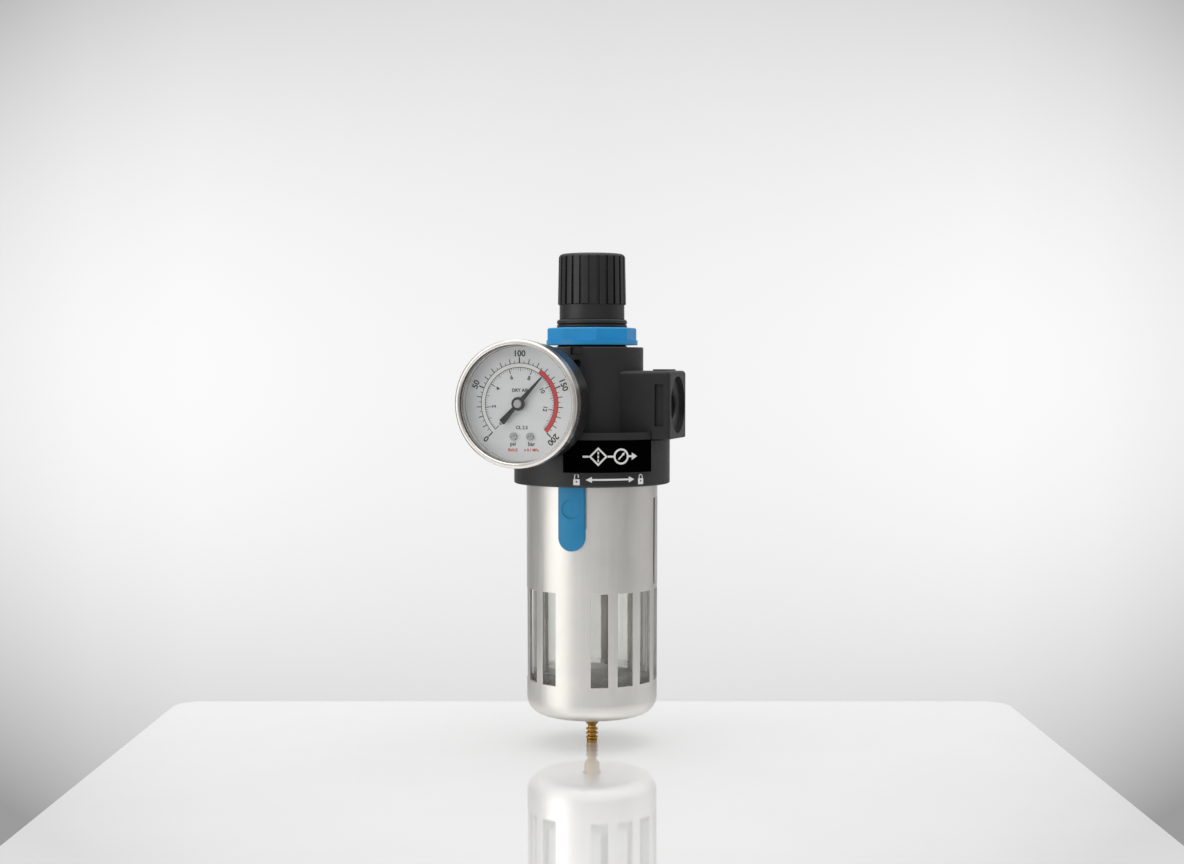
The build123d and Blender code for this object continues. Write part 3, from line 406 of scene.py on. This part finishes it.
def around(angle, radius):
    """Point on the dial, its angle clockwise from the top, in degrees."""
    t = math.radians(angle)
    return radius * math.sin(t), radius * math.cos(t)


def arc_band(inner, outer, start, end):
    """Outline of a piece of a ring on the dial."""
    count = max(2, int(abs(end - start) / 2.0))
    angles = [start + (end - start) * i / count for i in range(count + 1)]
    return [around(a, outer) for a in angles] + [around(a, inner) for a in reversed(angles)]


def lettering(text, x, y, height, turn=0.0, weight=0.03):
    """Flat triangles of a short text, centred on a point and turned clockwise."""
    data = bpy.data.curves.new("lettering", "FONT")
    data.body = text
    data.size = height / 0.72
    data.align_x = "CENTER"
    data.offset = weight
    data.resolution_u = 4
    maker = bpy.data.objects.new("lettering", data)
    mesh = bpy.data.meshes.new_from_object(maker)
    s, c = math.sin(-math.radians(turn)), math.cos(-math.radians(turn))
    points = [(v.co.x, v.co.y - height / 2) for v in mesh.vertices]
    points = [(x + px * c - py * s, y + px * s + py * c) for px, py in points]
    faces = [list(p.vertices) for p in mesh.polygons]
    bpy.data.objects.remove(maker)
    bpy.data.curves.remove(data)
    bpy.data.meshes.remove(mesh)
    return points, faces


def filled(outline, *holes):
    """Flat triangles of an outline with holes."""
    loops = [outline, *holes]
    points = [p for loop in loops for p in loop]
    faces = tessellate_polygon([[Vector((x, y, 0)) for x, y in loop] for loop in loops])
    return points, [list(f) for f in faces]


def print_piece(name, shapes, thickness, place, finish, body, cut=None):
    """A thin raised print: flat shapes thickened, cut into strips to bend, and put in place."""
    bm = bmesh.new()
    for points, faces in shapes:
        verts = [bm.verts.new((x, y, 0)) for x, y in points]
        for face in faces:
            try:
                bm.faces.new([verts[i] for i in face])
            except ValueError:
                continue
    bmesh.ops.remove_doubles(bm, verts=bm.verts, dist=0.0005)
    bmesh.ops.dissolve_degenerate(bm, dist=0.0005, edges=bm.edges)
    for face in bm.faces:
        if face.normal.z < 0:
            face.normal_flip()
    if cut:
        low, high = min(v.co.x for v in bm.verts), max(v.co.x for v in bm.verts)
        for i in range(1, int((high - low) / cut) + 1):
            geometry = bm.verts[:] + bm.edges[:] + bm.faces[:]
            bmesh.ops.bisect_plane(bm, geom=geometry, plane_co=(low + i * cut, 0, 0), plane_no=(1, 0, 0))
    top = bmesh.ops.extrude_face_region(bm, geom=bm.faces[:])
    raised = [g for g in top["geom"] if isinstance(g, bmesh.types.BMVert)]
    bmesh.ops.translate(bm, verts=raised, vec=(0, 0, thickness))
    bmesh.ops.recalc_face_normals(bm, faces=bm.faces)
    for v in bm.verts:
        v.co = Vector(place(*v.co)) * MM
    piece = put_in_scene(name, bm, finish)
    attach(piece, body)
    return piece


# ---------------------------------------------------------------- dial scale
dial_face = -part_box("gauge_dial")[0].y / MM


def on_dial(x, y, h):
    """Dial coordinates to the row frame, h standing off the dial's face."""
    return gauge_centre[0] / MM + x, -(dial_face + h), gauge_centre[2] / MM + y


RING_IN, RING_OUT = 14.5, 16.2
PSI_ANGLE, BAR_ANGLE = 270 / 200, 270 / 13.79


def tick(angle, inner, outer, width):
    """Radial stroke on the dial."""
    return filled(stroke(*around(angle, inner), *around(angle, outer), width))


black_shapes = [filled(arc_band(r - 0.12, r + 0.12, -135, 135)) for r in (RING_IN, RING_OUT)]
for value in range(0, 201, 5):
    angle = -135 + value * PSI_ANGLE
    if value % 50 == 0:
        black_shapes.append(tick(angle, RING_OUT, 18.5, 0.5))
    elif value % 10 == 0:
        black_shapes.append(tick(angle, RING_OUT, 18.2, 0.34))
    else:
        black_shapes.append(tick(angle, RING_OUT, 17.2, 0.22))
for value in (0, 50, 100, 150, 200):
    angle = -135 + value * PSI_ANGLE
    x, y = around(angle, 20.1)
    black_shapes.append(lettering(str(value), x, y, 2.45, angle, 0.09))
for step in range(0, 69):
    angle = -135 + step * 0.2 * BAR_ANGLE
    if step % 10 == 0:
        black_shapes.append(tick(angle, 12.4, RING_IN, 0.32))
    elif step % 5 == 0:
        black_shapes.append(tick(angle, 13.0, RING_IN, 0.2))
    else:
        black_shapes.append(tick(angle, 13.6, RING_IN, 0.16))
for value in range(0, 13, 2):
    angle = -135 + value * BAR_ANGLE
    x, y = around(angle, 11.0)
    black_shapes.append(lettering(str(value), x, y, 1.7, angle, 0.06))
black_shapes.append(lettering("DRY AIR", 0.3, 5.4, 1.35, 0.0, 0.05))
black_shapes.append(lettering("CL 2.5", 1.0, -9.4, 1.35, 0.0, 0.05))
black_shapes.append(lettering("psi", -2.8, -15.9, 1.6, 0.0, 0.045))
black_shapes.append(lettering("bar", 5.0, -15.9, 1.6, 0.0, 0.045))
dial_scale_black = print_piece("dial_scale_black", black_shapes, 0.05, on_dial, print_black, "housing")

red_shapes = [
    filled(arc_band(RING_IN + 0.05, RING_OUT - 0.05, 33, 135)),
    lettering("lb/in2", -2.8, -18.3, 1.3, 0.0, 0.04),
    lettering("x 0.1 MPa", 5.0, -18.3, 1.1, 0.0, 0.04),
]
print_piece("dial_scale_red", red_shapes, 0.06, on_dial, print_red, "housing")

white_shapes = [filled(arc_band(RING_IN + 0.05, RING_OUT - 0.05, -135, 33))]
dial_band_white = print_piece("dial_band_white", white_shapes, 0.04, on_dial, print_white, "housing")


def dial_surround():
    """Thin pale ring that lines the case between the dial and the lens."""
    inner, outer, back, front, steps = 23.0, 23.25, dial_face, dial_face + 2.45, 96
    bm = bmesh.new()
    rows = []
    for i in range(steps):
        t = 2 * math.pi * i / steps
        row = []
        for radius, depth in ((inner, back), (inner, front), (outer, front), (outer, back)):
            x = gauge_centre[0] + radius * MM * math.sin(t)
            z = gauge_centre[2] + radius * MM * math.cos(t)
            row.append(bm.verts.new((x, -depth * MM, z)))
        rows.append(row)
    join_rows(bm, rows + rows[:1])
    bmesh.ops.recalc_face_normals(bm, faces=bm.faces)
    ring = put_in_scene("dial_surround", bm, white_plastic)
    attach(ring, "housing")


dial_surround()


# ---------------------------------------------------------------- prints on the collar and the label
COLLAR_R = 33.4
LABEL_R = 34.1
LABEL_TURN = 29.85
ICONS_TURN = 30.0
ICONS_Z = -54.6


def wrapped(radius, turn, height):
    """Places a flat print round the main axis at a turn from the front, in degrees."""

    def place(x, y, h):
        t = math.radians(turn) + x / radius
        return (radius + h) * math.sin(t), -(radius + h) * math.cos(t), height + y

    return place


def padlock(x, is_open):
    """Padlock symbol with a keyhole, its foot at y = -2.2."""
    body = [(x - 1.35, -2.2), (x + 1.35, -2.2), (x + 1.35, 0.25), (x - 1.35, 0.25)]
    keyhole = disc(x, -0.8, 0.36, 16)
    shapes = [filled(body, keyhole[::-1])]
    lift = 0.5 if is_open else 0.0
    angles = [math.radians(a) for a in range(0, 181, 15)]
    shackle = [(x + 0.98 * math.cos(t), 1.05 + lift + 0.98 * math.sin(t)) for t in angles]
    shackle += [(x + 0.58 * math.cos(t), 1.05 + lift + 0.58 * math.sin(t)) for t in reversed(angles)]
    shapes.append(filled(shackle))
    shapes.append(filled(stroke(x - 0.78, 0.2, x - 0.78, 1.1 + lift, 0.4)))
    right_foot = 0.85 if is_open else 0.2
    shapes.append(filled(stroke(x + 0.78, right_foot, x + 0.78, 1.1 + lift, 0.4)))
    return shapes


def arc_length(turn):
    """Distance along the collar from the icons' middle to a turn."""
    return math.radians(turn - ICONS_TURN) * COLLAR_R


left_tip, right_tip = arc_length(12.5), arc_length(48.4)
icon_shapes = padlock(arc_length(6.0), True) + padlock(arc_length(54.0), False)
icon_shapes.append(filled(stroke(left_tip + 2.2, 0, right_tip - 2.2, 0, 0.75)))
icon_shapes.append(filled([(left_tip, 0), (left_tip + 2.6, -1.25), (left_tip + 2.6, 1.25)]))
icon_shapes.append(filled([(right_tip, 0), (right_tip - 2.6, 1.25), (right_tip - 2.6, -1.25)]))
collar_icons = print_piece(
    "collar_icons", icon_shapes, 0.05, wrapped(COLLAR_R, ICONS_TURN, ICONS_Z), print_white, "housing", 0.6
)


def label_symbol_shapes():
    """Flow line through a filter diamond and a dial, the usual sign for a filter-regulator."""
    line, filter_x = 0.8, -5.1
    shapes = [filled(stroke(-11.5, 0, -9.0, 0, line)), filled(stroke(-1.2, 0, 1.4, 0, line))]
    outer, inner = (
        [(filter_x - r, 0), (filter_x, -r), (filter_x + r, 0), (filter_x, r)] for r in (3.9, 2.85)
    )
    shapes.append(filled(outer, inner[::-1]))
    for y in (-2.2, -0.65, 0.9):
        shapes.append(filled(stroke(filter_x, y, filter_x, y + 1.1, 0.6)))
    shapes.append(filled(disc(4.6, 0, 3.3), disc(4.6, 0, 2.5)[::-1]))
    shapes.append(filled(stroke(3.4, -1.2, 5.7, 1.1, 0.6)))
    shapes.append(filled([(6.3, 1.7), (4.9, 1.2), (5.8, 0.3)]))
    shapes.append(filled(stroke(7.8, 0, 9.6, 0, line)))
    shapes.append(filled([(12.0, 0), (9.4, 1.5), (9.4, -1.5)]))
    return shapes


label_low, label_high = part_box("label_plate")
label_symbol = print_piece(
    "label_symbol",
    label_symbol_shapes(),
    0.04,
    wrapped(LABEL_R, LABEL_TURN, (label_low.z + label_high.z) / 2 / MM),
    print_white,
    "housing",
    0.6,
)


# ---------------------------------------------------------------- threads in the ports
def port_thread(name, side):
    """Helical thread inside a port, from its mouth inwards, in millimetres."""
    pitch, crest, root, steps = 1.337, 5.55, 6.03, 48
    depth, mouth, height = 9.0, 35.1, -24.3
    count = int(depth / pitch * steps)
    bm = bmesh.new()
    rows = []
    for i in range(count + 1):
        angle = 2 * math.pi * i / steps
        x = mouth - 0.5 - pitch * i / steps
        fade = min(1.0, i / 20.0, (count - i) / 20.0)
        tip = root - (root - crest) * fade
        row = []
        for offset, radius in ((0.56, root), (0.09, tip), (-0.09, tip), (-0.56, root)):
            y, z = radius * math.cos(angle), radius * math.sin(angle)
            row.append(bm.verts.new((side * (x + offset) * MM, y * MM, (height + z) * MM)))
        rows.append(row)
    join_rows(bm, rows)
    bm.faces.new(rows[0])
    bm.faces.new(rows[-1][::-1])
    bmesh.ops.recalc_face_normals(bm, faces=bm.faces)
    piece = put_in_scene(name, bm, body_black)
    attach(piece, "housing")


port_thread("outlet_thread", 1)
port_thread("inlet_thread", -1)


# ---------------------------------------------------------------- stage, light and camera
LAMPS_AIM = (0, 0, -0.06)
CAMERA_DISTANCE = 0.708
CAMERA_HEIGHT = -0.0088
CAMERA_PITCH = math.radians(-2.22)
CAMERA_LENS = 50.17


def table():
    """Glossy white slab under the drain, square to the camera."""
    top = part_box("drain_stem")[0].z
    half_width, far, near, corner_r, thickness = 0.188, 0.074, -0.42, 0.012, 0.004
    centres = ((half_width, far), (-half_width, far), (-half_width, near), (half_width, near))
    bm = bmesh.new()
    outline = []
    for quarter, (x, y) in enumerate(centres):
        for i in range(7):
            t = math.radians(90 * quarter + 15 * i)
            outline.append((x + corner_r * math.cos(t), y + corner_r * math.sin(t)))
    face = bm.faces.new([bm.verts.new((x, y, top)) for x, y in outline])
    slab = bmesh.ops.extrude_face_region(bm, geom=[face])
    low = [g for g in slab["geom"] if isinstance(g, bmesh.types.BMVert)]
    bmesh.ops.translate(bm, verts=low, vec=(0, 0, -thickness))
    bmesh.ops.recalc_face_normals(bm, faces=bm.faces)
    f = Finish("table_white", IOR=2.3, Coat_Weight=1.0, Coat_IOR=2.3, Coat_Roughness=0.03)
    f.colour(f.noise(25.0, 2.0), (0.90, 0.90, 0.90), (0.92, 0.92, 0.92))
    f.roughness(f.noise(40.0, 2.0), 0.03, 0.05)
    f.bump(f.noise(30.0, 1.0), 0.00002, 0.15)
    table_top = put_in_scene("table", bm, f.material)
    table_top.rotation_euler = (0, 0, VIEW_TURN)


# brightness of the wall behind the object, by degrees away from straight behind it
WALL_STOPS = (
    (0, 0.895), (7, 0.92), (13.6, 0.965), (17, 0.94),
    (20.4, 0.855), (26, 0.68), (36, 0.42), (50, 0.33),
)
WALL_DARKEST = 0.33
CEILING = (1.15, 1.15, 1.15)


def light_tent():
    """Soft white surroundings: bright behind the object, darker round that, mid grey in front."""
    world = bpy.data.worlds.new("light_tent")
    world.use_nodes = True
    scene.world = world
    tree = world.node_tree

    def calc(operation, a, b=0.0):
        return math_node(tree, operation, a, b)

    direction = tree.nodes.new("ShaderNodeTexCoord").outputs["Generated"]
    turn = tree.nodes.new("ShaderNodeVectorRotate")
    turn.rotation_type = "Z_AXIS"
    turn.inputs["Angle"].default_value = -VIEW_TURN
    tree.links.new(direction, turn.inputs["Vector"])
    parts = tree.nodes.new("ShaderNodeSeparateXYZ")
    tree.links.new(turn.outputs[0], parts.inputs[0])
    across = calc("ARCTAN2", calc("ABSOLUTE", parts.outputs["X"]), parts.outputs["Y"])
    up = calc("ARCSINE", parts.outputs["Z"])
    # wall: the stops from side to side, and darker with the square of the height
    ramp = tree.nodes.new("ShaderNodeValToRGB")
    tree.links.new(calc("DIVIDE", across, math.radians(90.0)), ramp.inputs["Fac"])
    while len(ramp.color_ramp.elements) < len(WALL_STOPS):
        ramp.color_ramp.elements.new(0.5)
    for element, (place, value) in zip(ramp.color_ramp.elements, WALL_STOPS):
        element.position = place / 90.0
        element.color = (value, value, value, 1.0)
    falloff = calc("ADD", calc("MULTIPLY", calc("MULTIPLY", across, across), 44.2), 3.61)
    drop = calc("MULTIPLY", falloff, calc("MULTIPLY", up, up))
    wall = calc("MAXIMUM", calc("SUBTRACT", ramp.outputs["Color"], drop), WALL_DARKEST)
    # room in front, a little darker to the right, and the ceiling
    front_room = calc("ADD", calc("MULTIPLY", parts.outputs["X"], -0.15), 0.52)
    in_front = map_range(tree, parts.outputs["Y"], 0.1, -0.5, 0.0, 1.0)
    overhead = map_range(tree, parts.outputs["Z"], 0.35, 0.7, 0.0, 1.0)
    room = mix_colours(tree, in_front, wall, front_room)
    tree.links.new(mix_colours(tree, overhead, room, CEILING), tree.nodes["Background"].inputs["Color"])


def softbox(name, turn, height, distance, width, tall, radiance, colour=(1, 1, 1)):
    """Area light at a turn from the front, facing the object."""
    data = bpy.data.lights.new(name, "AREA")
    data.shape = "RECTANGLE"
    data.size = width
    data.size_y = tall
    data.energy = radiance * math.pi * width * tall
    data.color = colour
    lamp = bpy.data.objects.new(name, data)
    t = math.radians(turn)
    lamp.location = (distance * math.sin(t), -distance * math.cos(t), height)
    aim = Vector(LAMPS_AIM) - lamp.location
    lamp.rotation_euler = aim.to_track_quat("-Z", "Y").to_euler()
    scene.collection.objects.link(lamp)


def camera():
    """Camera at the photograph's viewing angle."""
    data = bpy.data.cameras.new("camera")
    data.lens = CAMERA_LENS
    data.sensor_width = 36.0
    data.clip_start = 0.01
    eye = bpy.data.objects.new("camera", data)
    x, y = CAMERA_DISTANCE * math.sin(VIEW_TURN), -CAMERA_DISTANCE * math.cos(VIEW_TURN)
    eye.location = (x, y, CAMERA_HEIGHT)
    eye.rotation_euler = (math.radians(90) + CAMERA_PITCH, 0, VIEW_TURN)
    scene.collection.objects.link(eye)
    scene.camera = eye


table()
light_tent()
softbox("key", -47.0, 0.10, 1.1, 0.9, 1.4, 1.06, (1.0, 0.985, 0.965))
softbox("fill", 120.0, 0.10, 1.2, 1.2, 1.2, 0.27)
softbox("top", 0.0, 1.1, 0.05, 1.2, 1.2, 1.05)
camera()
